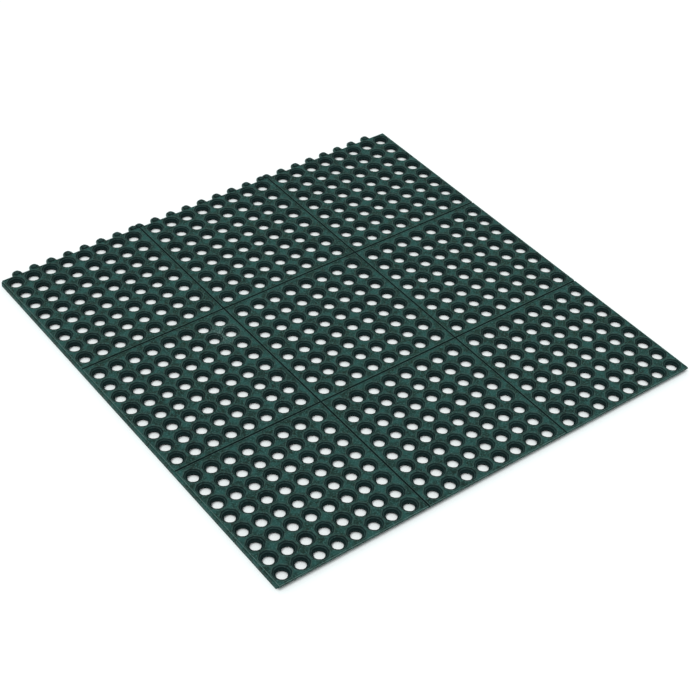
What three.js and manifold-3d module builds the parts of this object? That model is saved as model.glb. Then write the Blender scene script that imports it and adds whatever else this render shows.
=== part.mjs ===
// A moulded rubber drainage mat: three by three square fields of round holes, parted by
// shallow grooves. The back edge carries a row of knobbed tabs, and the front edge is a
// thin lip over a rebate, which the next mat's tabs slide under.
// X runs along the knobbed edge, Y towards it and Z up, in millimetres. The origin is the
// middle of the hole pattern, on the floor.
import * as THREE from "three";
import { mergeGeometries, mergeVertices } from "three/addons/utils/BufferGeometryUtils.js";
import Module from "manifold-3d";

const wasm = await Module();
wasm.setup();

// Driving dimensions
const thickness = 12.7;
const fieldsAcross = 3;
const holesAcrossField = 8;
const holePitch = 36.5;
const pitchAcrossGroove = 50.5;
const holeTopRadius = 16.1;
const holeBottomRadius = 10;
const plainBorder = 21.25; // from an outer hole's centre to a plain edge
const knobbedBorder = 18; // from the last row of holes to the knobbed edge
const grooveWidth = 3.4;
const grooveDepth = 3.3;
const edgeStep = 1.6; // width of the ledge along the two sides, at the grooves' depth
const lipThickness = 4.5; // of the front edge, above its rebate
const rebateWall = 1.7; // rubber left between the rebate and the first row of holes
const tabThickness = 3.9;
const tabWidth = 25.5;
const tabReach = 23; // from the knobbed edge to a tab's end
const knobRadius = 5.9;
const knobCentre = 13.6; // from the knobbed edge
const knobClearance = 0.3; // between a knob's top and the underside of the lip over it
const seamClearance = 0.3; // between the solids of neighbouring strips

// Facets
const holeSides = 8;
const knobSides = 8;
const tabEndFacets = 4; // on each quarter turn of a tab's end
const mergeDistance = 1e-4; // closer corners of one solid are one corner
const overshoot = 1; // how far a cutter passes a face, and a joined solid goes into the next

const rubber = { color: 0x2c4a3e, roughness: 0.62, metalness: 0 };

const holeSpan = (holesAcrossField - 1) * holePitch;
const fieldSpacing = holeSpan + pitchAcrossGroove;
const outerHole = ((fieldsAcross - 1) * fieldSpacing + holeSpan) / 2;
const plainEdge = outerHole + plainBorder;
const knobbedEdge = outerHole + knobbedBorder;
const lipUnderside = thickness - lipThickness;
const grooveFloor = thickness - grooveDepth;

// The middles of the fields along one axis, and the holes' offsets from a field's middle.
const fieldCentres = spread(fieldsAcross, fieldSpacing);
const holeOffsets = spread(holesAcrossField, holePitch);

function spread(count, spacing) {
  return Array.from({ length: count }, (_, i) => (i - (count - 1) / 2) * spacing);
}

function solidFrom(geometry) {
  geometry.deleteAttribute("normal");
  geometry.deleteAttribute("uv");
  const merged = mergeVertices(geometry, mergeDistance);
  return new wasm.Manifold(
    new wasm.Mesh({
      numProp: 3,
      vertProperties: merged.attributes.position.array,
      triVerts: new Uint32Array(merged.index.array),
    }),
  );
}

function geometryFrom(solid) {
  const { vertProperties, triVerts } = solid.getMesh();
  const geometry = new THREE.BufferGeometry();
  geometry.setAttribute("position", new THREE.BufferAttribute(vertProperties, 3));
  geometry.setIndex(new THREE.BufferAttribute(triVerts, 1));
  geometry.computeVertexNormals();
  return geometry;
}

function slab([x0, x1], [y0, y1], [z0, z1]) {
  const box = new THREE.BoxGeometry(x1 - x0, y1 - y0, z1 - z0);
  box.translate((x0 + x1) / 2, (y0 + y1) / 2, (z0 + z1) / 2);
  return solidFrom(box);
}

// A prism or frustum that stands on z0. Its flats touch the given radii, so that the way
// through a hole, and the land between two holes, keep their real widths.
function standingFrustum(z0, z1, bottomRadius, topRadius, sides) {
  const reach = 1 / Math.cos(Math.PI / sides);
  const cone = new THREE.CylinderGeometry(topRadius * reach, bottomRadius * reach, z1 - z0, sides);
  cone.rotateX(Math.PI / 2);
  cone.rotateZ(Math.PI / sides);
  cone.translate(0, 0, (z0 + z1) / 2);
  return cone;
}

function holeRadiusAt(z) {
  return THREE.MathUtils.lerp(holeBottomRadius, holeTopRadius, z / thickness);
}

// One tapered hole's cutter: it keeps the taper where it passes the two faces.
function holeCutter(x, y) {
  const [z0, z1] = [-overshoot, thickness + overshoot];
  const cutter = standingFrustum(z0, z1, holeRadiusAt(z0), holeRadiusAt(z1), holeSides);
  cutter.translate(x, y, 0);
  return cutter;
}

// The rebate under the front lip. Its back wall leans as the holes' walls do, so that the
// rubber between them has one thickness.
function rebateCutter() {
  const backWallAt = (z) => -outerHole - holeRadiusAt(z) - rebateWall;
  const outside = -plainEdge - overshoot;
  const section = new THREE.Shape([
    new THREE.Vector2(outside, -overshoot),
    new THREE.Vector2(backWallAt(-overshoot), -overshoot),
    new THREE.Vector2(backWallAt(lipUnderside), lipUnderside),
    new THREE.Vector2(outside, lipUnderside),
  ]);
  const length = 2 * (plainEdge + overshoot);
  const cutter = new THREE.ExtrudeGeometry(section, { depth: length, bevelEnabled: false });
  cutter.translate(0, 0, -length / 2);
  const [alongX, alongY, alongZ] = [[1, 0, 0], [0, 1, 0], [0, 0, 1]].map(
    (axis) => new THREE.Vector3(...axis),
  );
  cutter.applyMatrix4(new THREE.Matrix4().makeBasis(alongY, alongZ, alongX));
  return solidFrom(cutter);
}

// Where the solids of one row of fields end: at the seams, or at the mat's own edges.
function stripEnds(row) {
  const seam = (fieldSpacing - seamClearance) / 2;
  const front = row === 0 ? -plainEdge : fieldCentres[row] - seam;
  const back = row === fieldsAcross - 1 ? knobbedEdge : fieldCentres[row] + seam;
  return [front, back];
}

// The raised top of one field, as [from, to] along one axis. It stops at the grooves'
// walls, or where the top of the whole mat stops.
function raisedSpan(index, first, last) {
  const toGroove = (fieldSpacing - grooveWidth) / 2;
  const from = index === 0 ? first : fieldCentres[index] - toGroove;
  const to = index === fieldsAcross - 1 ? last : fieldCentres[index] + toGroove;
  return [from, to];
}

// A flat tab with a round end, and its knob, at the place x along the knobbed edge.
function knobbedTab(x) {
  const half = tabWidth / 2;
  const outline = new THREE.Shape();
  outline.moveTo(-half, -overshoot);
  outline.lineTo(half, -overshoot);
  outline.lineTo(half, tabReach - half);
  outline.absarc(0, tabReach - half, half, 0, Math.PI, false);
  outline.closePath();
  const plate = new THREE.ExtrudeGeometry(outline, {
    depth: tabThickness,
    bevelEnabled: false,
    curveSegments: tabEndFacets,
  });
  plate.translate(x, knobbedEdge, 0);
  const knobTop = lipUnderside - knobClearance;
  const knob = standingFrustum(tabThickness - overshoot, knobTop, knobRadius, knobRadius, knobSides);
  knob.translate(x, knobbedEdge + knobCentre, 0);
  return solidFrom(plate).add(solidFrom(knob));
}

// Knobs stand between the columns of holes and beside each groove, but not at the mat's
// two outer corners.
function knobPlaces() {
  const places = fieldCentres.flatMap((centre) =>
    spread(holesAcrossField + 1, holePitch).map((offset) => centre + offset),
  );
  return places.slice(1, -1);
}

function strip(row) {
  const ends = stripEnds(row);
  const sideOfTop = plainEdge - edgeStep;
  const raisedY = raisedSpan(row, -plainEdge, knobbedEdge);
  let body = slab([-plainEdge, plainEdge], ends, [0, grooveFloor]);
  for (const column of fieldCentres.keys()) {
    const raisedX = raisedSpan(column, -sideOfTop, sideOfTop);
    body = body.add(slab(raisedX, raisedY, [grooveFloor - overshoot, thickness]));
  }
  const cutters = fieldCentres.flatMap((centreX) =>
    holeOffsets.flatMap((dx) =>
      holeOffsets.map((dy) => holeCutter(centreX + dx, fieldCentres[row] + dy)),
    ),
  );
  body = body.subtract(solidFrom(mergeGeometries(cutters)));
  if (row === 0) body = body.subtract(rebateCutter());
  if (row === fieldsAcross - 1) {
    for (const x of knobPlaces()) body = body.add(knobbedTab(x));
  }
  return body;
}

const mat = new THREE.Group();
["front_strip", "middle_strip", "back_strip"].forEach((name, row) => {
  const mesh = new THREE.Mesh(geometryFrom(strip(row)), new THREE.MeshStandardMaterial(rubber));
  mesh.name = name;
  mat.add(mesh);
});

export default mat;
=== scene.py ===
import math

import bmesh
import bpy
import numpy as np
from bpy.props import FloatProperty, FloatVectorProperty, IntProperty, PointerProperty
from mathutils import Matrix, Vector


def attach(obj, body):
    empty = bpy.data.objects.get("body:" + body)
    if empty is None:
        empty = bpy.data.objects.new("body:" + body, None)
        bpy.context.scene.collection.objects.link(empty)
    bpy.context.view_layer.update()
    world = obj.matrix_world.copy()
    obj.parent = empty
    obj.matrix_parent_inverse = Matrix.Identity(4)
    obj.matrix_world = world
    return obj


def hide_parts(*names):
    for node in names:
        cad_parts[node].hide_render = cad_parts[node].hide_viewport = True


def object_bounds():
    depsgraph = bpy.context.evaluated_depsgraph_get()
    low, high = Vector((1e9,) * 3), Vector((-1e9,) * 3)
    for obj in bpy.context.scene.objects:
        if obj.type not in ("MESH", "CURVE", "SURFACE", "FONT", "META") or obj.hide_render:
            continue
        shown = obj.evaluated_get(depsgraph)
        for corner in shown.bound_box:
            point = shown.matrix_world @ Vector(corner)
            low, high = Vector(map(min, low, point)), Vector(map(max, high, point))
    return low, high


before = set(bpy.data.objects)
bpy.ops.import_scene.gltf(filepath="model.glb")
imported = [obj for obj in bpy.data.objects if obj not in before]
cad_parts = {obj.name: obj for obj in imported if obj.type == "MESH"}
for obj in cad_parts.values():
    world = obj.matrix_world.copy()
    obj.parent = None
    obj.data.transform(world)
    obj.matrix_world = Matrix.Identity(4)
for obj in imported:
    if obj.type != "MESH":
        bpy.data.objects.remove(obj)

bl_info = {
    "name": "Rubber drainage mat",
    "version": (1, 0, 0),
    "blender": (4, 5, 0),
    "location": "3D View > Sidebar > Drainage mat",
    "description": "Moulds a perforated rubber drainage mat and sets up its studio",
    "category": "Object",
}

MM = 0.001
STRIPS = ("front_strip", "middle_strip", "back_strip")
CAD_LOW, CAD_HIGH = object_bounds()

# Facets of the moulded surfaces.
SIDE_FACETS = 4  # on each side of a hole's square
RING_FACETS = 4 * SIDE_FACETS
TAB_FACETS = 24  # on the half turn of a tab's end
KNOB_FACETS = 24

EDGE_ROUND = 0.8 * MM  # of the edges of the walking face
KNOBBED_ROUND = 0.28 * MM  # of the edge over the tabs
FILLET = 0.5 * MM  # at the foot of a groove's wall, and under the lip
GROOVE_BORDER = 1.35 * MM  # from a groove to the nearest hole's square
EDGE_BORDER = 1.25 * MM  # from an edge of the walking face to the nearest hole's square
WELD = 0.002 * MM  # closer points are one point
SHARP_ANGLE = math.radians(38)  # steeper corners keep an edge in their shading

# Painted highlight, where 1 is a rib's crest, and the one scuffed spot.
PLATEAU_HIGHLIGHT = 0.3  # on a rib's flat top
FIELD_HIGHLIGHT = 1.3  # on the edges along the grooves
OUTLINE_HIGHLIGHT = 2.0  # on the mat's own edges
EDGE_BAND = 1.2 * MM  # width of the painted highlight along the mat's own edges
SCUFF_PLACE = (-0.192, 0.093, 0.0127)
SCUFF_REACH = 38 * MM

# Noises of the rubber: scale per metre, detail, and the values that become 0 and 1.
BROAD = (4, 2, 0.40, 0.62)
CLOUDS = (55, 3, 0.42, 0.60)
BLOTCHES = (190, 4, 0.43, 0.62)
SPECKS = (330, 3, 0.53, 0.66)
FLECKS = (420, 2, 0.50, 0.60)
GRAIN = (900, 2, 0.30, 0.70)


def length(name, description, default):
    """A length in metres, as a property of the add-on."""
    return FloatProperty(
        name=name, description=description, default=default, unit="LENGTH", precision=5
    )


def colour(name, description, default):
    """A linear colour, as a property of the add-on."""
    return FloatVectorProperty(
        name=name, description=description, default=default, subtype="COLOR", min=0, max=1
    )


class DrainageMatSizes(bpy.types.PropertyGroup):
    """The mat's sizes. The outer ones come from the frame."""

    fields_across: IntProperty(name="Fields across", description="Fields on each side", default=3)
    holes_across: IntProperty(
        name="Holes across a field", description="Holes on each side of a field", default=8
    )
    thickness: length("Thickness", "From the floor to the walking face", CAD_HIGH.z)
    side_edge: length("Side edge", "From the middle to each plain side", CAD_HIGH.x)
    hole_pitch: length("Hole pitch", "Between neighbouring holes of a field", 36.5 * MM)
    groove_pitch: length("Pitch across a groove", "Between the holes beside a groove", 50.5 * MM)
    knobbed_border: length("Knobbed border", "From the last holes to the knobbed edge", 18 * MM)
    mouth_flat: length("Mouth flat", "From a hole's axis to the flats beside a hole", 16.2 * MM)
    mouth_skew: length("Mouth skew flat", "From the axis to the flats between them", 15.7 * MM)
    rib_width: length("Rib width", "Of the rib round a mouth, to its foot", 3 * MM)
    relief: length("Relief", "How far the land lies below the ribs", 0.7 * MM)
    ring_radius: length("Ring radius", "Of the ledge's inner ring in a hole", 13.6 * MM)
    ring_depth: length("Ring depth", "From the walking face to the ledge", 1.7 * MM)
    waist_radius: length("Waist radius", "Of a hole where it is narrowest", 9.7 * MM)
    waist_depth: length("Waist depth", "From the walking face to the waist", 6.4 * MM)
    foot_radius: length("Foot radius", "Of a hole at the floor", 13.2 * MM)
    groove_width: length("Groove width", "Between two fields", 3.4 * MM)
    groove_depth: length("Groove depth", "Below the walking face", 3.3 * MM)
    side_ledge: length("Side ledge", "Width of the step along the two sides", 1.6 * MM)
    lip_thickness: length("Lip thickness", "Of the front edge above its rebate", 4.5 * MM)
    rebate_top: length("Rebate depth", "From the front edge to the rebate's top corner", 5.6 * MM)
    rebate_foot: length("Rebate foot", "From the front edge to the rebate's foot", 7.1 * MM)
    tab_thickness: length("Tab thickness", "Of the joining tabs", 3.9 * MM)
    tab_width: length("Tab width", "Of one joining tab", 25.5 * MM)
    tab_end_width: length("Tab end width", "Of a tab's round end", 19.5 * MM)
    tab_reach: length("Tab reach", "From the knobbed edge to a tab's end", 23 * MM)
    knob_radius: length("Knob radius", "Of the knob on a tab", 6.5 * MM)
    knob_centre: length("Knob place", "From the knobbed edge to a knob's axis", 13.6 * MM)
    knob_top: length("Knob top", "From the floor to a knob's top", 7.9 * MM)


class DrainageMatFinish(bpy.types.PropertyGroup):
    """Colours and surface of the moulded rubber."""

    dark_green: colour("Dark green", "Rubber of the walking face", (0.0035, 0.015, 0.011))
    olive: colour("Olive", "Broad warmer patches of the rubber", (0.006, 0.021, 0.013))
    teal_bloom: colour("Teal bloom", "Mottled lighter rubber", (0.017, 0.074, 0.066))
    # Painted highlight on the beads, ribs and rounded edges.
    rim_highlight: colour("Rubbed rim", "Beads and edges that feet have rubbed", (0.038, 0.078, 0.068))
    # Colour of the scuffed spot's flecks, and of the palest painted highlight along the mat's own
    # edges.
    scuff_and_edge_highlight: colour("Pale edge", "The mat's own edges, which rub the most", (0.10, 0.17, 0.155))
    pale_speck: colour("Pale speck", "Small specks of bloom on the land", (0.050, 0.14, 0.13))
    # Painted shade, near black, in the holes, the grooves and on the knobs' sides.
    painted_shade_colour: colour("Bore", "Rubber inside the holes", (0.002, 0.008, 0.009))
    roughness: FloatProperty(
        name="Roughness", description="Of the clean rubber", default=0.55, subtype="FACTOR"
    )


class DrainageMatStudio(bpy.types.PropertyGroup):
    """The camera's place and the studio's light."""

    heading: FloatProperty(
        name="Heading", description="Turn from +Y towards +X", default=math.radians(39.166),
        subtype="ANGLE",
    )
    descent: FloatProperty(
        name="Descent", description="Angle below the horizon", default=math.radians(41.264),
        subtype="ANGLE",
    )
    roll: FloatProperty(
        name="Roll", description="Turn about the line of sight", default=math.radians(3.388),
        subtype="ANGLE",
    )
    distance: length("Distance", "From the camera to its aim", 2.9192)
    aim: FloatVectorProperty(
        name="Aim", description="The point in the frame's middle", subtype="XYZ",
        unit="LENGTH", default=(-0.0288, -0.0727, 0.0127),
    )
    lens: FloatProperty(
        name="Lens", description="Focal length in mm on a 36 mm frame", default=82.74
    )
    floor_white: colour("Floor", "Pale studio floor", (0.86, 0.91, 0.91))
    light_from: FloatVectorProperty(
        name="Light from", description="Where the overhead light hangs, as a direction",
        subtype="DIRECTION", default=(-0.35, -0.20, 1),
    )
    light_width: FloatProperty(
        name="Light width", description="How wide the light looks from the mat",
        default=math.radians(35), subtype="ANGLE",
    )
    light_strength: FloatProperty(
        name="Light strength", description="Of the overhead light", default=1.85
    )
    air_strength: FloatProperty(
        name="Air strength", description="Of the even white light all round", default=0.7
    )


def spread(count, spacing):
    """count places, spacing apart, centred on zero."""
    return (np.arange(count) - (count - 1) / 2) * spacing


def smooth(x):
    """The smooth step 3x^2 - 2x^3, flat at both ends."""
    x = np.clip(x, 0, 1)
    return x * x * (3 - 2 * x)


class Lines:
    """Parallel grid lines across the mat: where each one lies, how high it holds the
    surface, and which gaps between lines hold a row of holes."""

    def __init__(self):
        self.at, self.top, self.cell, self.starts = [], [], [], []

    def add(self, places, tops):
        """Lines outside the holes' squares, with their heights."""
        self.at.extend(places)
        self.top.extend(tops)
        self.cell.extend([False] * len(places))

    def add_cells(self, limits, top):
        """The lines through one field: each hole's square is cut into equal parts."""
        parts = np.arange(SIDE_FACETS) / SIDE_FACETS
        inner = (limits[:-1, None] + np.diff(limits)[:, None] * parts).ravel()
        self.starts.extend(len(self.at) + SIDE_FACETS * np.arange(len(limits) - 1))
        self.at.extend([*inner, limits[-1]])
        self.top.extend([top] * (len(inner) + 1))
        self.cell.extend([True] * (len(inner) + 1))

    def arrays(self):
        """The places, heights, cell marks and first lines of the squares, as arrays."""
        return tuple(map(np.array, (self.at, self.top, self.cell, self.starts)))


def rounded(top, radius):
    """The rounding of an edge, from its crest outwards: (inwards, height) on a soft arc."""
    inwards = radius * np.array([1, 0.4, 0.08, 0])
    heights = top - radius * np.array([0, 0.1, 0.45, 1])
    return inwards, heights


def mat_layout(sizes):
    """Places that the lines and the shapes share, in metres."""
    span = (sizes.holes_across - 1) * sizes.hole_pitch
    spacing = span + sizes.groove_pitch
    centres = spread(sizes.fields_across, spacing)
    offsets = spread(sizes.holes_across, sizes.hole_pitch)
    outer = centres[-1] + span / 2
    return {
        "centres": centres,
        "offsets": offsets,
        "outer": outer,
        "half_spacing": spacing / 2,
        "half_field": (spacing - sizes.groove_width) / 2,
        "knobbed_edge": outer + sizes.knobbed_border,
    }


def cell_limits(holes, pitch, low, high):
    """The sides of the holes' squares: half way between holes, and low and high outside."""
    middles = holes[:-1] + pitch / 2
    return np.concatenate([[low], middles, [high]])


def groove_side(sizes, edge, side):
    """One wall of a groove and half its floor, from the field outwards. side is the
    direction in which the groove lies."""
    top, floor = sizes.thickness, sizes.thickness - sizes.groove_depth
    inwards, heights = rounded(top, EDGE_ROUND)
    soft = 0.3 * FILLET
    places = np.concatenate([-inwards, [0, soft, FILLET, sizes.groove_width / 2]])
    tops = np.concatenate([heights, [floor + FILLET, floor + soft, floor, floor]])
    return edge + side * places, tops


def ledge_side(sizes, edge, side):
    """The stepped side of the mat, from the field outwards: a wall, the ledge, and the
    ledge's rounded edge."""
    top, floor = sizes.thickness, sizes.thickness - sizes.groove_depth
    inwards, heights = rounded(top, EDGE_ROUND)
    ledge, soft, turn, end = sizes.side_ledge, 0.3 * FILLET, 0.12 * MM, 0.45 * MM
    places = np.concatenate([-inwards, [0, soft, FILLET, ledge - end, ledge - turn, ledge]])
    tops = [floor + FILLET, floor + soft, floor, floor, floor - turn, floor - end]
    return edge + side * places, np.concatenate([heights, tops])


def lip_side(sizes, edge):
    """The front edge from the field outwards: rounded over, down the lip's face, back
    along its underside and to the top of the rebate's sloping wall."""
    under = sizes.thickness - sizes.lip_thickness
    inwards, heights = rounded(sizes.thickness, EDGE_ROUND)
    turn, corner = 0.12 * MM, 0.3 * MM
    back = np.array([0, turn, FILLET, sizes.rebate_top - corner, sizes.rebate_top])
    tops = [under + FILLET, under + turn, under, under, under - 0.25 * MM]
    return edge + np.concatenate([inwards, back]), np.concatenate([heights, tops])


def lines_across(sizes, layout):
    """The grid lines of constant X, from the left side to the right one."""
    top = sizes.thickness
    edge = sizes.side_edge - sizes.side_ledge
    lines, under = Lines(), Lines()
    under.add([-sizes.side_edge], [0])
    for i, centre in enumerate(layout["centres"]):
        left, right = centre - layout["half_field"], centre + layout["half_field"]
        low, high = left + GROOVE_BORDER, right - GROOVE_BORDER
        if i == 0:
            places, tops = ledge_side(sizes, -edge, -1)
            low = -edge + EDGE_BORDER
        else:
            places, tops = groove_side(sizes, left, -1)
            places, tops = places[:-1], tops[:-1]
        lines.add(places[::-1], tops[::-1])
        if i == sizes.fields_across - 1:
            high = edge - EDGE_BORDER
        limits = cell_limits(centre + layout["offsets"], sizes.hole_pitch, low, high)
        lines.add_cells(limits, top)
        under.add_cells(limits, 0)
        if i == sizes.fields_across - 1:
            lines.add(*ledge_side(sizes, edge, 1))
        else:
            lines.add(*groove_side(sizes, right, 1))
    under.add([sizes.side_edge], [0])
    return lines.arrays(), under.arrays()


def lines_along(sizes, layout, row):
    """The grid lines of constant Y through one strip, from its front to its back."""
    top, centre = sizes.thickness, layout["centres"][row]
    front, back = centre - layout["half_field"], centre + layout["half_field"]
    seam = layout["half_spacing"]
    low, high = front + GROOVE_BORDER, back - GROOVE_BORDER
    under_low, under_high, under_front, under_back = low, high, centre - seam, centre + seam
    if row == 0:
        places, tops = lip_side(sizes, -sizes.side_edge)
        low = -sizes.side_edge + EDGE_BORDER
        under_low = -layout["outer"] - sizes.foot_radius - 0.6 * MM
        under_front = -sizes.side_edge + sizes.rebate_foot
    else:
        places, tops = groove_side(sizes, front, -1)
    lines, under = Lines(), Lines()
    lines.add(places[::-1], tops[::-1])
    if row == sizes.fields_across - 1:
        edge = layout["knobbed_edge"]
        inwards, heights = rounded(top, KNOBBED_ROUND)
        end = edge - inwards[1:], heights[1:]
        high = edge - 0.3 * MM
        under_high, under_back = edge - 2 * MM, edge
    else:
        end = groove_side(sizes, back, 1)
    holes = centre + layout["offsets"]
    lines.add_cells(cell_limits(holes, sizes.hole_pitch, low, high), top)
    lines.add(*end)
    under.add([under_front], [0])
    under.add_cells(cell_limits(holes, sizes.hole_pitch, under_low, under_high), 0)
    under.add([under_back], [0])
    return lines.arrays(), under.arrays()


def outside_mouth(sizes, across, along):
    """How far a point lies outside a hole's eight-sided mouth: the most that it passes any
    of the flats. across and along are its distances from the hole's axis."""
    across, along = np.abs(across), np.abs(along)
    straight = np.maximum(across, along) - sizes.mouth_flat
    return np.maximum(straight, (across + along) / np.sqrt(2) - sizes.mouth_skew)


def mouth_reach(sizes, angle, offset):
    """How far a spoke runs to the mouth's flats, moved outwards by offset. It is the soft
    smallest of its eight crossings, the power sum of their inverses, so corners are round."""
    flats = np.arange(8)
    stands = np.where(flats % 2, sizes.mouth_skew, sizes.mouth_flat) + offset
    inverse = np.maximum(np.cos(angle[:, None] - flats * np.pi / 4), 0) / stands
    return (inverse**30).sum(-1) ** (-1 / 30)


def rib(sizes, outside):
    """1 on the rib round a mouth, and down a smooth step to 0 at its foot."""
    slope = 1.1 * MM
    return 1 - smooth((outside - sizes.rib_width + slope) / slope)


def hole_profile(sizes):
    """The rings down a hole, from its rib's crest to the floor, as (share of a circle,
    offset from the mouth, radius, depth, painted highlight, painted shade). The eight-sided
    recess ends on a narrow ledge with a round ring, and below it the hole narrows to its
    waist and opens again to its foot. The painted highlight is strongest on the crest and
    on the ring's ledge, and the painted shade darkens the recess's wall and the hole below
    the ring."""
    ring, deep = sizes.ring_radius, sizes.ring_depth
    return np.array([
        (0.0, 1.1 * MM, 0, 0, 1.0, 0.0),
        (0.0, 0.3 * MM, 0, 0.15 * MM, 0.8, 0.1),
        (0.0, -0.1 * MM, 0, 0.5 * MM, 0.2, 0.6),
        (0.0, -0.6 * MM, 0, deep - 0.5 * MM, 0.0, 0.9),
        (0.5, -1.2 * MM, ring + 0.7 * MM, deep - 0.05 * MM, 0.1, 0.8),
        (1.0, 0, ring, deep, 0.7, 0.35),
        (1.0, 0, ring - 0.5 * MM, deep + 0.35 * MM, 0.4, 0.6),
        (1.0, 0, ring - 0.9 * MM, deep + 1.5 * MM, 0.0, 0.95),
        (1.0, 0, sizes.waist_radius, sizes.waist_depth, 0.2, 0.8),
        (1.0, 0, sizes.foot_radius, sizes.thickness, 0.0, 1.0),
    ])


def grid_faces(count_u, count_v, keep, first, flip):
    """Quads between neighbouring grid points, facing up, or down when flip is set."""
    index = first + np.arange(count_u * count_v).reshape(count_u, count_v)
    a, b, c, d = index[:-1, :-1], index[1:, :-1], index[1:, 1:], index[:-1, 1:]
    quads = np.stack([a, d, c, b] if flip else [a, b, c, d], -1)
    return quads[keep]


def square_loop():
    """The steps in u and v round a hole's square, against the clock from its front left
    corner, and the angle of each step's spoke."""
    s = np.arange(SIDE_FACETS)
    zero, full = np.zeros(SIDE_FACETS, int), np.full(SIDE_FACETS, SIDE_FACETS)
    du = np.concatenate([s, full, SIDE_FACETS - s, zero])
    dv = np.concatenate([zero, s, full, SIDE_FACETS - s])
    angle = -0.75 * np.pi + 2 * np.pi * np.arange(RING_FACETS) / RING_FACETS
    return du, dv, angle


def gap_holds_cells(cell, starts):
    """For each gap between two lines, whether it lies inside the holes' squares."""
    inside = np.zeros(len(cell) - 1, bool)
    for step in range(SIDE_FACETS):
        inside[starts + step] = True
    return inside


def hole_rings(sizes, angle, centre, square):
    """The rings of all the holes, as (points, painted highlight, painted shade), from the
    outermost inwards.

    Two rings lie on the straight way from the mouth's rib to the hole's square, where the
    rib has its foot and its shoulder. The others follow the hole's profile: each is the
    mouth's eight-sided outline, offset, or a circle, or a mean of both."""
    spoke = np.stack([np.cos(angle), np.sin(angle)], -1)
    circle, offset, radius, depth, shine, dark = (v[:, None] for v in hole_profile(sizes).T)
    outline = np.array([mouth_reach(sizes, angle, float(o)) for o in offset[:, 0]])
    reach = (1 - circle) * outline + circle * radius
    profile = centre + (reach[..., None] * spoke)[:, None, None]
    level = np.broadcast_to(sizes.thickness - depth[..., None, None], profile.shape[:-1])
    shape = profile.shape[:-1]
    shine, dark = (np.broadcast_to(v[..., None, None], shape) for v in (shine, dark))

    crest = profile[0]
    outwards = square - crest
    way = np.linalg.norm(outwards, axis=-1, keepdims=True)
    foot = np.clip((sizes.rib_width - 0.7 * MM) / way, 0, 0.8)
    shoulder = np.clip((sizes.rib_width - 1.6 * MM) / way, 0, 0.45)
    land = np.stack([crest + foot * outwards, crest + shoulder * outwards])
    from_axis = land - centre
    on_rib = rib(sizes, outside_mouth(sizes, from_axis[..., 0], from_axis[..., 1]))
    land_level = sizes.thickness - sizes.relief * (1 - on_rib)
    points = np.concatenate([
        np.concatenate([land, land_level[..., None]], -1),
        np.concatenate([profile, level[..., None]], -1),
    ])
    # The land rings get the rib's painted highlight and no painted shade; the others take the
    # profile's.
    lightened = np.concatenate([PLATEAU_HIGHLIGHT * on_rib, shine])
    return points, lightened, np.concatenate([0 * on_rib, dark])


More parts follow.
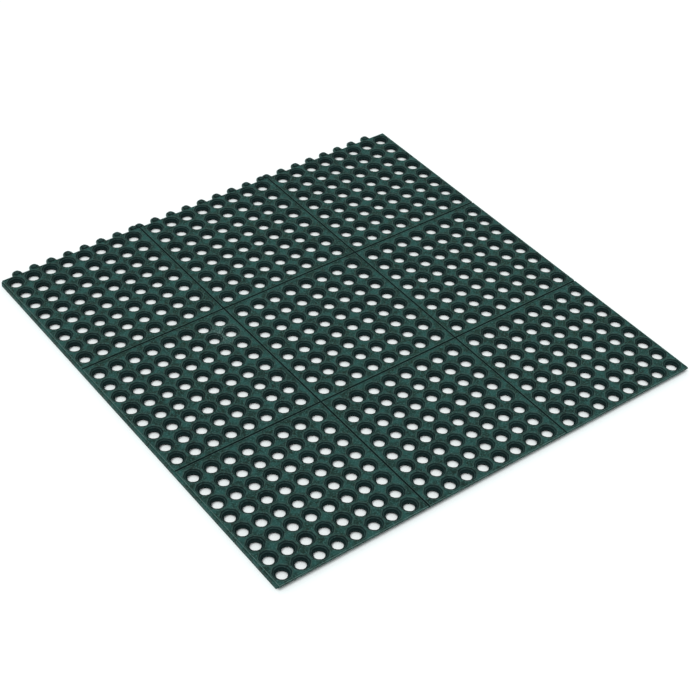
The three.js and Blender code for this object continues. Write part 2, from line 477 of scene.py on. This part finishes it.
def strip_surface(sizes, layout, row):
    """One strip's closed surface as (points, faces, painted highlight, painted shade).

    The walking face and the underside are grids of lines. A point of the walking face is
    as high as the lower of its two lines allows, and inside the holes' squares it is the
    land's height, plus the relief on the ribs. Each square is filled by the rings of its
    hole, down to the underside's square. Four flat polygons close the sides."""
    top = sizes.thickness
    (x, x_top, x_cell, x_start), (ux, _, ux_cell, ux_start) = lines_across(sizes, layout)
    (y, y_top, y_cell, y_start), (uy, _, uy_cell, uy_start) = lines_along(sizes, layout, row)
    holes_x = (layout["centres"][:, None] + layout["offsets"]).ravel()
    holes_y = layout["centres"][row] + layout["offsets"]

    away_x = np.abs(x[:, None] - holes_x).min(1)
    away_y = np.abs(y[:, None] - holes_y).min(1)
    on_rib = rib(sizes, outside_mouth(sizes, away_x[:, None], away_y))
    both = x_cell[:, None] & y_cell
    height = np.where(
        both, top - sizes.relief * (1 - on_rib), np.minimum(x_top[:, None], y_top)
    )
    # Painted highlight along the crests of the rounded edges, palest on the mat's own edges, and on
    # the ribs round the mouths.
    at_side = np.abs(x) > sizes.side_edge - sizes.side_ledge - EDGE_BAND
    at_outline = at_side[:, None] | (y < -sizes.side_edge + EDGE_BAND)
    crest = smooth((height - top + EDGE_ROUND) / (0.6 * MM))
    edge_highlight = crest * np.where(at_outline, OUTLINE_HIGHLIGHT, FIELD_HIGHLIGHT)
    painted_highlight = np.where(both, PLATEAU_HIGHLIGHT * on_rib, edge_highlight)
    # Painted shade in the grooves, darker with depth below the walking face; none on the mat's own
    # edges.
    groove_shade = 0.9 * (~at_outline & ~both) * smooth((top - height - 0.5 * MM) / (1.2 * MM))
    grid = np.stack([*np.meshgrid(x, y, indexing="ij"), height], -1)
    under = np.stack([*np.meshgrid(ux, uy, indexing="ij"), np.zeros((len(ux), len(uy)))], -1)
    under_first = height.size
    ring_first = under_first + under[..., 0].size

    du, dv, angle = square_loop()
    loop = (x_start[:, None, None] + du) * len(y) + y_start[:, None] + dv
    under_loop = under_first + (ux_start[:, None, None] + du) * len(uy) + uy_start[:, None] + dv
    centre = np.stack(np.meshgrid(holes_x, holes_y, indexing="ij"), -1)[:, :, None]
    square = grid[..., :2].reshape(-1, 2)[loop]
    rings, ring_highlight, ring_shade = hole_rings(sizes, angle, centre, square)

    ring_index = ring_first + np.arange(ring_highlight.size).reshape(ring_highlight.shape)
    loops = np.concatenate([loop[None], ring_index, under_loop[None]])
    outer, inner = loops[:-1], loops[1:]
    bands = np.stack([outer, np.roll(outer, -1, -1), np.roll(inner, -1, -1), inner], -1)
    keep = ~(gap_holds_cells(x_cell, x_start)[:, None] & gap_holds_cells(y_cell, y_start))
    keep_under = ~(
        gap_holds_cells(ux_cell, ux_start)[:, None] & gap_holds_cells(uy_cell, uy_start)
    )
    quads = np.concatenate([
        grid_faces(len(x), len(y), keep, 0, False),
        grid_faces(len(ux), len(uy), keep_under, under_first, True),
        bands.reshape(-1, 4),
    ])
    upper = np.arange(under_first).reshape(height.shape)
    lower = np.arange(under_first, ring_first).reshape(len(ux), len(uy))
    sides = [
        np.concatenate([upper[0], lower[0, ::-1]]),
        np.concatenate([lower[-1], upper[-1, ::-1]]),
        np.concatenate([lower[:, 0], upper[::-1, 0]]),
        np.concatenate([upper[:, -1], lower[::-1, -1]]),
    ]
    points = np.concatenate([grid.reshape(-1, 3), under.reshape(-1, 3), rings.reshape(-1, 3)])
    plain = np.zeros(under[..., 0].size)
    shine = np.concatenate([painted_highlight.ravel(), plain, ring_highlight.ravel()])
    painted_shade = np.concatenate([groove_shade.ravel(), plain, ring_shade.ravel()])
    return points, quads.tolist() + [side.tolist() for side in sides], shine, painted_shade


def lathe_rings(path, inwards, rings, first):
    """A closed shell from a flat closed path: each ring is the path moved inwards by one
    distance at one height. The first and the last ring are closed flat. Returns the points
    and faces."""
    inset, height = rings[:, 0, None, None], rings[:, 1, None, None]
    flat = path + inset * inwards
    points = np.concatenate([flat, np.broadcast_to(height, flat.shape[:-1] + (1,))], -1)
    count = path.shape[0]
    index = first + np.arange(points[..., 0].size).reshape(-1, count)
    low, high = index[:-1], index[1:]
    bands = np.stack([low, np.roll(low, -1, 1), np.roll(high, -1, 1), high], -1).reshape(-1, 4)
    faces = bands.tolist() + [index[0, ::-1].tolist(), index[-1].tolist()]
    return points.reshape(-1, 3), faces


def tab_outline(sizes, edge, knobs):
    """The plan of one tab, against the clock: sides that draw in from the mat, and one round
    end for each of its knobs, cut half way between two knobs."""
    half, end = sizes.tab_width / 2, sizes.tab_end_width / 2
    cut = np.arccos(np.clip(np.diff(knobs) / 2 / end, -1, 1)) if len(knobs) > 1 else [0.0]
    ends = []
    for k in range(len(knobs) - 1, -1, -1):
        start = 0 if k == len(knobs) - 1 else cut[0]
        stop = np.pi if k == 0 else np.pi - cut[0]
        turn = np.linspace(start, stop, TAB_FACETS // len(knobs) + 1)
        middle = np.array([knobs[k], sizes.tab_reach - end])
        ends.append(middle + end * np.stack([np.cos(turn), np.sin(turn)], 1))
    root = -1 * MM
    start = np.array([[knobs[0] - half, root], [knobs[-1] + half, root]])
    return np.concatenate([start, *ends]) + [0, edge]


def unit_vectors(vectors):
    """The vectors divided by their lengths. A vector of no length stays as it is."""
    tiny = 1e-12
    return vectors / np.maximum(np.linalg.norm(vectors, axis=1, keepdims=True), tiny)


def inward_normals(path):
    """Unit vectors in the plan, square to the path and to its left, which is inwards when
    the path runs against the clock."""
    ahead = np.roll(path, -1, 0) - path
    behind = path - np.roll(path, 1, 0)
    along = unit_vectors(unit_vectors(ahead) + unit_vectors(behind))
    return np.stack([-along[:, 1], along[:, 0]], 1)


def tabs_surface(sizes, layout):
    """The joining tabs and their knobs, as (points, faces, painted highlight, painted shade).
    Knobs stand half a pitch beside the holes; those on the two sides of a groove share one
    tab. Both are stacks of rings, given as (inset, height) from the floor up."""
    places = (
        layout["centres"][:, None] + spread(sizes.holes_across + 1, sizes.hole_pitch)
    ).ravel()[1:-1]
    edge, t, top = layout["knobbed_edge"], sizes.tab_thickness, sizes.knob_top
    groups = np.split(places, np.flatnonzero(np.diff(places) > sizes.tab_width) + 1)
    plate = np.array([
        (0.4 * MM, 0), (0, 0.4 * MM), (0, t - 0.8 * MM), (0.25 * MM, t - 0.2 * MM), (0.8 * MM, t),
    ])
    r, dome = sizes.knob_radius, top - t
    knob = np.array([
        (0, t - 0.5 * MM), (0, t + 0.45 * dome), (0.06 * r, t + 0.7 * dome),
        (0.2 * r, t + 0.88 * dome), (0.42 * r, t + 0.97 * dome), (0.7 * r, top),
    ])
    turn = 2 * np.pi * np.arange(KNOB_FACETS) / KNOB_FACETS
    circle = np.stack([np.cos(turn), np.sin(turn)], 1)
    points, faces, first = [], [], 0
    for knobs in groups:
        path = tab_outline(sizes, edge, knobs)
        shells = [(path, inward_normals(path), plate)]
        shells += [
            (r * circle + [x, edge + sizes.knob_centre], -circle, knob) for x in knobs
        ]
        for shell in shells:
            more, more_faces = lathe_rings(*shell, first)
            points.append(more)
            faces += more_faces
            first += len(more)
    points = np.concatenate(points)
    # Painted highlight along the tab's top edge, weaker on the knobs; painted shade on the knobs'
    # sides, less on their tops.
    painted_highlight = 0.8 * smooth((points[:, 2] - t + 0.6 * MM) / (0.5 * MM))
    on_knob = smooth((points[:, 2] - t - 0.3 * MM) / MM)
    on_top = smooth((points[:, 2] - top + 0.5 * MM) / (0.3 * MM))
    return points, faces, painted_highlight * (1 - 0.6 * on_knob), on_knob * (0.75 - 0.35 * on_top)


def join_surfaces(surfaces):
    """Puts several surfaces into one set of points and faces."""
    points, faces, painted_highlight, painted_shade = [], [], [], []
    first = 0
    for p, f, r, b in surfaces:
        points.append(p)
        faces += [[i + first for i in face] for face in f] if first else f
        painted_highlight.append(r)
        painted_shade.append(b)
        first += len(p)
    return np.concatenate(points), faces, np.concatenate(painted_highlight), np.concatenate(painted_shade)


def piece_from(name, surface, material):
    """An object at the origin with that surface. Points that coincide where two profiles
    cross are merged, and corners steeper than SHARP_ANGLE stay sharp."""
    points, faces, painted_highlight, painted_shade = surface
    mesh = bpy.data.meshes.new(name)
    mesh.from_pydata(points, [], faces)
    # Point attributes for the painted highlight and the painted shade.
    for label, values in (("painted_highlight", painted_highlight), ("painted_shade", painted_shade)):
        layer = mesh.attributes.new(label, "FLOAT", "POINT")
        layer.data.foreach_set("value", np.ascontiguousarray(values, dtype=np.float32))
    work = bmesh.new()
    work.from_mesh(mesh)
    bmesh.ops.delete(work, geom=[v for v in work.verts if not v.link_faces], context="VERTS")
    bmesh.ops.remove_doubles(work, verts=work.verts, dist=WELD)
    bmesh.ops.dissolve_degenerate(work, edges=work.edges, dist=WELD)
    work.to_mesh(mesh)
    work.free()
    mesh.shade_smooth()
    mesh.set_sharp_from_angle(angle=SHARP_ANGLE)
    mesh.materials.append(material)
    piece = bpy.data.objects.new(name, mesh)
    bpy.context.scene.collection.objects.link(piece)
    return piece


def node(tree, kind, **values):
    """A shader node with some of its values set."""
    made = tree.nodes.new(kind)
    for name, value in values.items():
        if name in made.inputs:
            made.inputs[name].default_value = value
        else:
            setattr(made, name, value)
    return made


def stretch(tree, value, low, high, to_low=0.0, to_high=1.0):
    """The value moved so that low becomes to_low and high becomes to_high, and no further."""
    ranged = node(tree, "ShaderNodeMapRange")
    for name, number in (
        ("From Min", low), ("From Max", high), ("To Min", to_low), ("To Max", to_high),
    ):
        ranged.inputs[name].default_value = number
    tree.links.new(value, ranged.inputs["Value"])
    return ranged.outputs["Result"]


def mottle(tree, place, scale, detail, low, high):
    """Noise of that scale per metre, stretched so that low to high becomes 0 to 1."""
    noise = node(tree, "ShaderNodeTexNoise", Scale=scale, Detail=detail, Roughness=0.6)
    tree.links.new(place, noise.inputs["Vector"])
    return stretch(tree, noise.outputs["Fac"], low, high)


def blend_colour(tree, factor, below, above):
    """Mixes two colours; each is a socket or a linear colour."""
    mix = node(tree, "ShaderNodeMix", data_type="RGBA")
    tree.links.new(factor, mix.inputs[0])
    for value, socket in ((below, mix.inputs[6]), (above, mix.inputs[7])):
        if isinstance(value, bpy.types.NodeSocket):
            tree.links.new(value, socket)
        else:
            socket.default_value = (*value, 1)
    return mix.outputs[2]


def times(tree, a, b):
    """The product of a socket and a socket or number."""
    maths = node(tree, "ShaderNodeMath", operation="MULTIPLY")
    tree.links.new(a, maths.inputs[0])
    if isinstance(b, bpy.types.NodeSocket):
        tree.links.new(b, maths.inputs[1])
    else:
        maths.inputs[1].default_value = b
    return maths.outputs[0]


def rubber_colour(tree, finish, place, painted_highlight, painted_shade, blotches, grain):
    """The rubber's colour, laid in this order: broad patches, a teal bloom that is strongest
    between the ribs, specks and grain; then the painted highlight on the crests, the scuffed
    spot, the palest painted highlight on the mat's own edges and the painted shade in the
    bores, the grooves and on the knobs' sides."""
    dark = blend_colour(tree, mottle(tree, place, *BROAD), finish.dark_green, finish.olive)
    sunk = stretch(tree, painted_highlight, 0, 1, 0.85, 0.3)
    bloom = times(tree, sunk, mottle(tree, place, *CLOUDS))
    land = blend_colour(tree, bloom, dark, finish.teal_bloom)
    land = blend_colour(tree, times(tree, blotches, 0.35), land, finish.teal_bloom)
    specks = times(tree, mottle(tree, place, *SPECKS), 0.75)
    land = blend_colour(tree, specks, land, finish.pale_speck)
    land = blend_colour(tree, times(tree, grain, 0.25), land, finish.dark_green)

    # Painted highlight on the crests, ribs and rounded edges, made patchy by the blotches.
    patchy = stretch(tree, blotches, 0, 1, 0.3, 0.9)
    lightened = blend_colour(tree, times(tree, painted_highlight, patchy), land, finish.rim_highlight)
    away = node(tree, "ShaderNodeVectorMath", operation="DISTANCE")
    away.inputs[1].default_value = SCUFF_PLACE
    tree.links.new(place, away.inputs[0])
    near = stretch(tree, away.outputs["Value"], SCUFF_REACH, 0.3 * SCUFF_REACH)
    scuffs = times(tree, near, mottle(tree, place, *FLECKS))
    lightened = blend_colour(tree, scuffs, lightened, finish.scuff_and_edge_highlight)
    # The palest painted highlight, along the mat's own edges.
    edges = times(tree, stretch(tree, painted_highlight, 1, OUTLINE_HIGHLIGHT), patchy)
    lightened = blend_colour(tree, edges, lightened, finish.scuff_and_edge_highlight)
    # Painted shade, near black, in the bores, the grooves and on the knobs' sides.
    return blend_colour(tree, painted_shade, lightened, finish.painted_shade_colour)


def moulded_rubber(finish):
    """Matt dark green rubber, mottled and finely grained, with a painted highlight on its crests
    and edges, and near black painted shade in the bores, the grooves and on the knobs' sides,
    where it is also quite dull."""
    material = bpy.data.materials.new("moulded_rubber")
    material.use_nodes = True
    tree = material.node_tree
    tree.nodes.clear()
    place = node(tree, "ShaderNodeTexCoord").outputs["Object"]
    # How much painted highlight and how much painted shade each point gets.
    painted_highlight = node(tree, "ShaderNodeAttribute", attribute_name="painted_highlight").outputs["Fac"]
    painted_shade = node(tree, "ShaderNodeAttribute", attribute_name="painted_shade").outputs["Fac"]
    blotches = mottle(tree, place, *BLOTCHES)
    grain = mottle(tree, place, *GRAIN)
    colour_now = rubber_colour(tree, finish, place, painted_highlight, painted_shade, blotches, grain)
    uneven = stretch(tree, blotches, 0, 1, finish.roughness - 0.08, finish.roughness + 0.12)
    dull = node(tree, "ShaderNodeMath", operation="MAXIMUM")
    tree.links.new(uneven, dull.inputs[0])
    tree.links.new(painted_shade, dull.inputs[1])
    bump = node(tree, "ShaderNodeBump", Strength=0.35, Distance=0.4 * MM)
    tree.links.new(blotches, bump.inputs["Height"])
    fine = node(tree, "ShaderNodeBump", Strength=0.25, Distance=0.15 * MM)
    tree.links.new(grain, fine.inputs["Height"])
    tree.links.new(bump.outputs["Normal"], fine.inputs["Normal"])
    shader = node(tree, "ShaderNodeBsdfPrincipled")
    shader.inputs["Specular IOR Level"].default_value = 0.11
    tree.links.new(colour_now, shader.inputs["Base Color"])
    tree.links.new(dull.outputs[0], shader.inputs["Roughness"])
    tree.links.new(fine.outputs["Normal"], shader.inputs["Normal"])
    output = node(tree, "ShaderNodeOutputMaterial")
    tree.links.new(shader.outputs["BSDF"], output.inputs["Surface"])
    return material


class DRAINAGEMAT_OT_mould(bpy.types.Operator):
    """Mould the mat: its three strips, with their holes, grooves, lip, tabs and knobs"""

    bl_idname = "drainage_mat.mould"
    bl_label = "Mould the mat"

    def execute(self, context):
        sizes = context.scene.drainage_mat_sizes
        rubber = moulded_rubber(context.scene.drainage_mat_finish)
        layout = mat_layout(sizes)
        for row, name in enumerate(STRIPS):
            surfaces = [strip_surface(sizes, layout, row)]
            if row == len(STRIPS) - 1:
                surfaces.append(tabs_surface(sizes, layout))
            piece = piece_from("rubber_" + name, join_surfaces(surfaces), rubber)
            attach(piece, "root")
            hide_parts(name)
        return {"FINISHED"}


def lay_floor(studio):
    """A wide pale floor at the height that the mat lies on."""
    half = 30  # metres
    corners = [(-half, -half, 0), (half, -half, 0), (half, half, 0), (-half, half, 0)]
    mesh = bpy.data.meshes.new("studio_floor")
    mesh.from_pydata(corners, [], [(0, 1, 2, 3)])
    material = bpy.data.materials.new("pale_floor")
    material.use_nodes = True
    shader = material.node_tree.nodes["Principled BSDF"]
    shader.inputs["Base Color"].default_value = (*studio.floor_white, 1)
    shader.inputs["Roughness"].default_value = 0.9
    shader.inputs["Specular IOR Level"].default_value = 0.1
    mesh.materials.append(material)
    floor = bpy.data.objects.new("studio_floor", mesh)
    bpy.context.scene.collection.objects.link(floor)


def hang_light(studio):
    """A broad, far and even light, nearly overhead, on the camera's side."""
    light = bpy.data.lights.new("overhead_soft", "SUN")
    light.angle, light.energy = studio.light_width, studio.light_strength
    lamp = bpy.data.objects.new("overhead_soft", light)
    lamp.rotation_euler = (-Vector(studio.light_from)).to_track_quat("-Z", "Y").to_euler()
    bpy.context.scene.collection.objects.link(lamp)


def set_camera(studio):
    """A camera that looks along the heading and down by the descent at its aim, turned by
    the roll about its own axis."""
    heading, descent = studio.heading, studio.descent
    ahead = Vector((math.sin(heading) * math.cos(descent),
                    math.cos(heading) * math.cos(descent), -math.sin(descent)))
    level = Vector((math.cos(heading), -math.sin(heading), 0))
    right = Matrix.Rotation(-studio.roll, 3, ahead) @ level
    up = right.cross(ahead)
    data = bpy.data.cameras.new("photo_camera")
    data.sensor_width, data.lens = 36, studio.lens
    data.clip_start, data.clip_end = 0.05, 100
    camera = bpy.data.objects.new("photo_camera", data)
    turn = Matrix((right, up, -ahead)).transposed()
    place = Vector(studio.aim) - ahead * studio.distance
    camera.matrix_world = Matrix.Translation(place) @ turn.to_4x4()
    bpy.context.scene.collection.objects.link(camera)
    bpy.context.scene.camera = camera


class DRAINAGEMAT_OT_studio(bpy.types.Operator):
    """Set up the pale floor, the soft lights and the camera"""

    bl_idname = "drainage_mat.studio"
    bl_label = "Set up the studio"

    def execute(self, context):
        studio = context.scene.drainage_mat_studio
        lay_floor(studio)
        hang_light(studio)
        world = bpy.data.worlds.new("studio_air")
        world.use_nodes = True
        air = world.node_tree.nodes["Background"]
        air.inputs["Color"].default_value = (1, 1, 1, 1)
        air.inputs["Strength"].default_value = studio.air_strength
        context.scene.world = world
        context.scene.view_settings.view_transform = "Standard"
        set_camera(studio)
        return {"FINISHED"}


class DRAINAGEMAT_PT_sidebar(bpy.types.Panel):
    """The mat's sizes, finish and studio"""

    bl_idname = "DRAINAGEMAT_PT_sidebar"
    bl_label = "Drainage mat"
    bl_space_type = "VIEW_3D"
    bl_region_type = "UI"
    bl_category = "Drainage mat"

    def draw(self, context):
        for group, operator in (
            (context.scene.drainage_mat_sizes, None),
            (context.scene.drainage_mat_finish, DRAINAGEMAT_OT_mould.bl_idname),
            (context.scene.drainage_mat_studio, DRAINAGEMAT_OT_studio.bl_idname),
        ):
            box = self.layout.box()
            for name in group.__annotations__:
                box.prop(group, name)
            if operator:
                box.operator(operator)


GROUPS = {
    "drainage_mat_sizes": DrainageMatSizes,
    "drainage_mat_finish": DrainageMatFinish,
    "drainage_mat_studio": DrainageMatStudio,
}
CLASSES = (*GROUPS.values(), DRAINAGEMAT_OT_mould, DRAINAGEMAT_OT_studio, DRAINAGEMAT_PT_sidebar)


def register():
    """Registers the classes and gives each scene its three groups of settings."""
    for cls in CLASSES:
        bpy.utils.register_class(cls)
    for name, group in GROUPS.items():
        setattr(bpy.types.Scene, name, PointerProperty(type=group))


def unregister():
    """Takes the settings and the classes away again."""
    for name in GROUPS:
        delattr(bpy.types.Scene, name)
    for cls in reversed(CLASSES):
        bpy.utils.unregister_class(cls)


def main():
    """Sets up the studio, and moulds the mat."""
    register()
    bpy.ops.drainage_mat.studio()
    bpy.ops.drainage_mat.mould()


if __name__ == "__main__":
    main()
